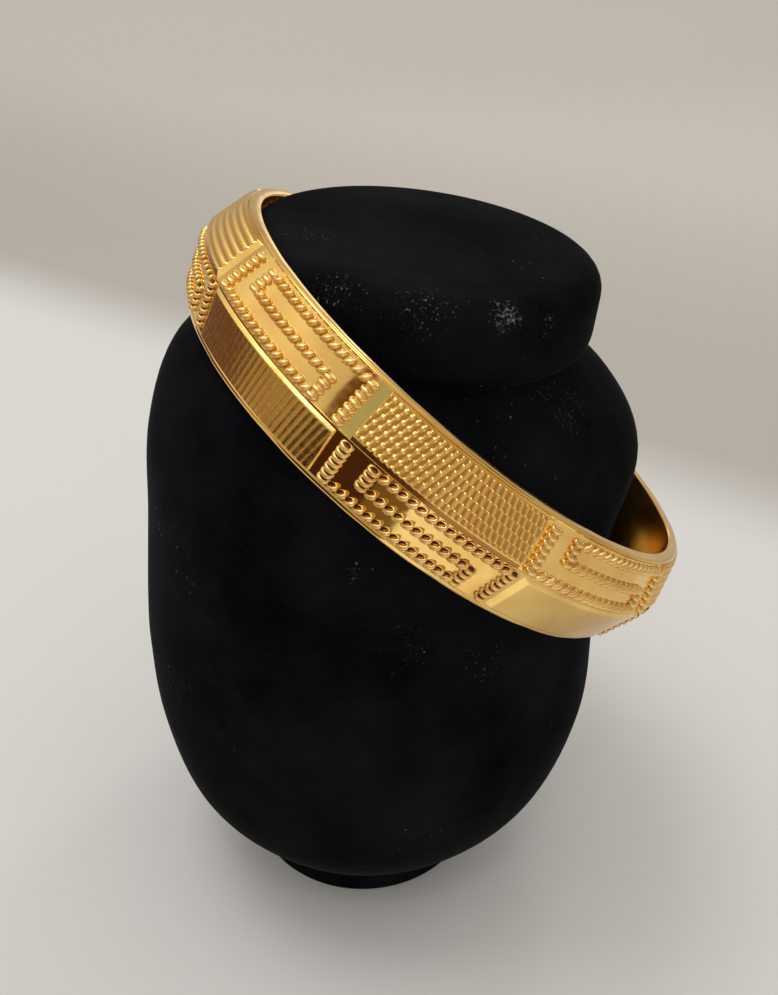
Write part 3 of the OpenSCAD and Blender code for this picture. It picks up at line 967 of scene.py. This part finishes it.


# Painted reflections, the room as the metal sees it: azimuth from +X and height in degrees, radii
# inside which a patch is full and outside which it is gone, colour and strength; later ones lie over
# earlier ones
ROOM = [
    (180, 75, 30, 62, "#FFF6E8", 0.7),
    (170, 50, 10, 32, "#FFF8EE", 0.95),
    (40, 60, 10, 32, "#FFF2DC", 0.9),
    (-95, 36, 8, 24, "#DAD1CB", 1.0),
    (-75, 12, 14, 36, "#C5B59C", 1.0),
    (-122, 45, 3.2, 4.4, "#8A6238", 0.55),
    (-111, 41, 3, 6, "#BFC9B8", 0.8),
    (0, 33, 5, 14, "#5A3D22", 0.8),
    (4, 17, 2, 6, "#E0C070", 1.0),
    (10, 6, 2, 6, "#6A5030", 1.0),
    (34, 62, 2, 6, "#FFFFFF", 3.0),
    (-118, 70, 9, 15, "#FFFFFF", 5.0),
]


def surroundings(scene, strength):
    """The room round the set: even light, and in the metal's reflections only, painted soft patches,
    bright and dark.

    A patch's share is a smooth step of the cosine of the angle from its middle.
    """
    world = bpy.data.worlds.new("room")
    world.use_nodes = True
    tree = world.node_tree
    tree.nodes.clear()
    way = add(tree, "ShaderNodeTexCoord").outputs["Generated"]
    seen = (0.50, 0.46, 0.38, 1)
    for turn, up, inner, outer, hue, bright in ROOM:
        a, e = radians(turn), radians(up)
        middle = (cos(e) * cos(a), cos(e) * sin(a), sin(e))
        near = add(tree, "ShaderNodeVectorMath", {0: way, 1: middle}, operation="DOT_PRODUCT")
        part = add(tree, "ShaderNodeMapRange", {
            "Value": near.outputs["Value"], "From Min": cos(radians(outer)),
            "From Max": cos(radians(inner))}, interpolation_type="SMOOTHSTEP")
        patch = (*(bright * v for v in linear(hue)), 1)
        seen = add(tree, "ShaderNodeMix", {"Factor": part.outputs[0], 6: seen, 7: patch},
                   data_type="RGBA").outputs[2]
    ray = add(tree, "ShaderNodeLightPath").outputs["Is Glossy Ray"]
    even = (*(strength * v for v in linear("#FFFCF6")), 1)
    both = add(tree, "ShaderNodeMix", {"Factor": ray, 6: even, 7: seen}, data_type="RGBA")
    back = add(tree, "ShaderNodeBackground", {"Color": both.outputs[2], "Strength": 1.0})
    add(tree, "ShaderNodeOutputWorld", {"Surface": back.outputs[0]})
    scene.world = world


def camera(scene):
    """The camera at the photograph's place: its focal length is 1056 pixels for 778 across."""
    lens = bpy.data.cameras.new("camera")
    lens.sensor_fit, lens.sensor_width = "HORIZONTAL", 36.0
    lens.lens = 36.0 * 1056 / 778
    lens.clip_start, lens.clip_end = 0.01, 20.0
    thing = bpy.data.objects.new("camera", lens)
    forward = np.array([0.0881, 0.8623, -0.4987])
    up = np.array([0.0507, 0.4962, 0.8667])
    thing.matrix_world = Matrix.Translation((-0.007879, -0.112786, 0.117835)) @ aim(forward, up)
    scene.collection.objects.link(thing)
    scene.camera = thing


class KADA_PT_panel(bpy.types.Panel):
    """Sizes, colours and the steps that build the scene"""

    bl_idname = "KADA_PT_panel"
    bl_label = "Kada"
    bl_space_type = "VIEW_3D"
    bl_region_type = "UI"
    bl_category = "Kada"

    def draw(self, context):
        for step in STEPS:
            self.layout.operator(step.bl_idname)
        for key in GROUPS:
            box = self.layout.box()
            group = getattr(context.scene, key)
            for name in group.bl_rna.properties.keys():
                if name not in ("rna_type", "name"):
                    box.prop(group, name)


STEPS = (KADA_OT_band, KADA_OT_pads, KADA_OT_rope, KADA_OT_bust, KADA_OT_stage)
GROUPS = {
    "kada_sizes": KadaSizes,
    "kada_pads": PadSizes,
    "kada_rope": RopeSizes,
    "kada_bust": BustSizes,
    "kada_colours": Colours,
    "kada_studio": StudioSizes,
}


def register():
    """Adds the classes, and a pointer to each group of sizes in the scene."""
    for cls in (*GROUPS.values(), *STEPS, KADA_PT_panel):
        bpy.utils.register_class(cls)
    for key, group in GROUPS.items():
        setattr(bpy.types.Scene, key, PointerProperty(type=group))


def unregister():
    """Takes the pointers and the classes away again."""
    for key in GROUPS:
        delattr(bpy.types.Scene, key)
    for cls in reversed((*GROUPS.values(), *STEPS, KADA_PT_panel)):
        bpy.utils.unregister_class(cls)


def main():
    """Builds everything."""
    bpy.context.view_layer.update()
    register()
    scene = bpy.context.scene
    scene.view_settings.view_transform = "Standard"
    for step in STEPS:
        group, call = step.bl_idname.split(".")
        getattr(getattr(bpy.ops, group), call)()


if __name__ == "__main__":
    main()
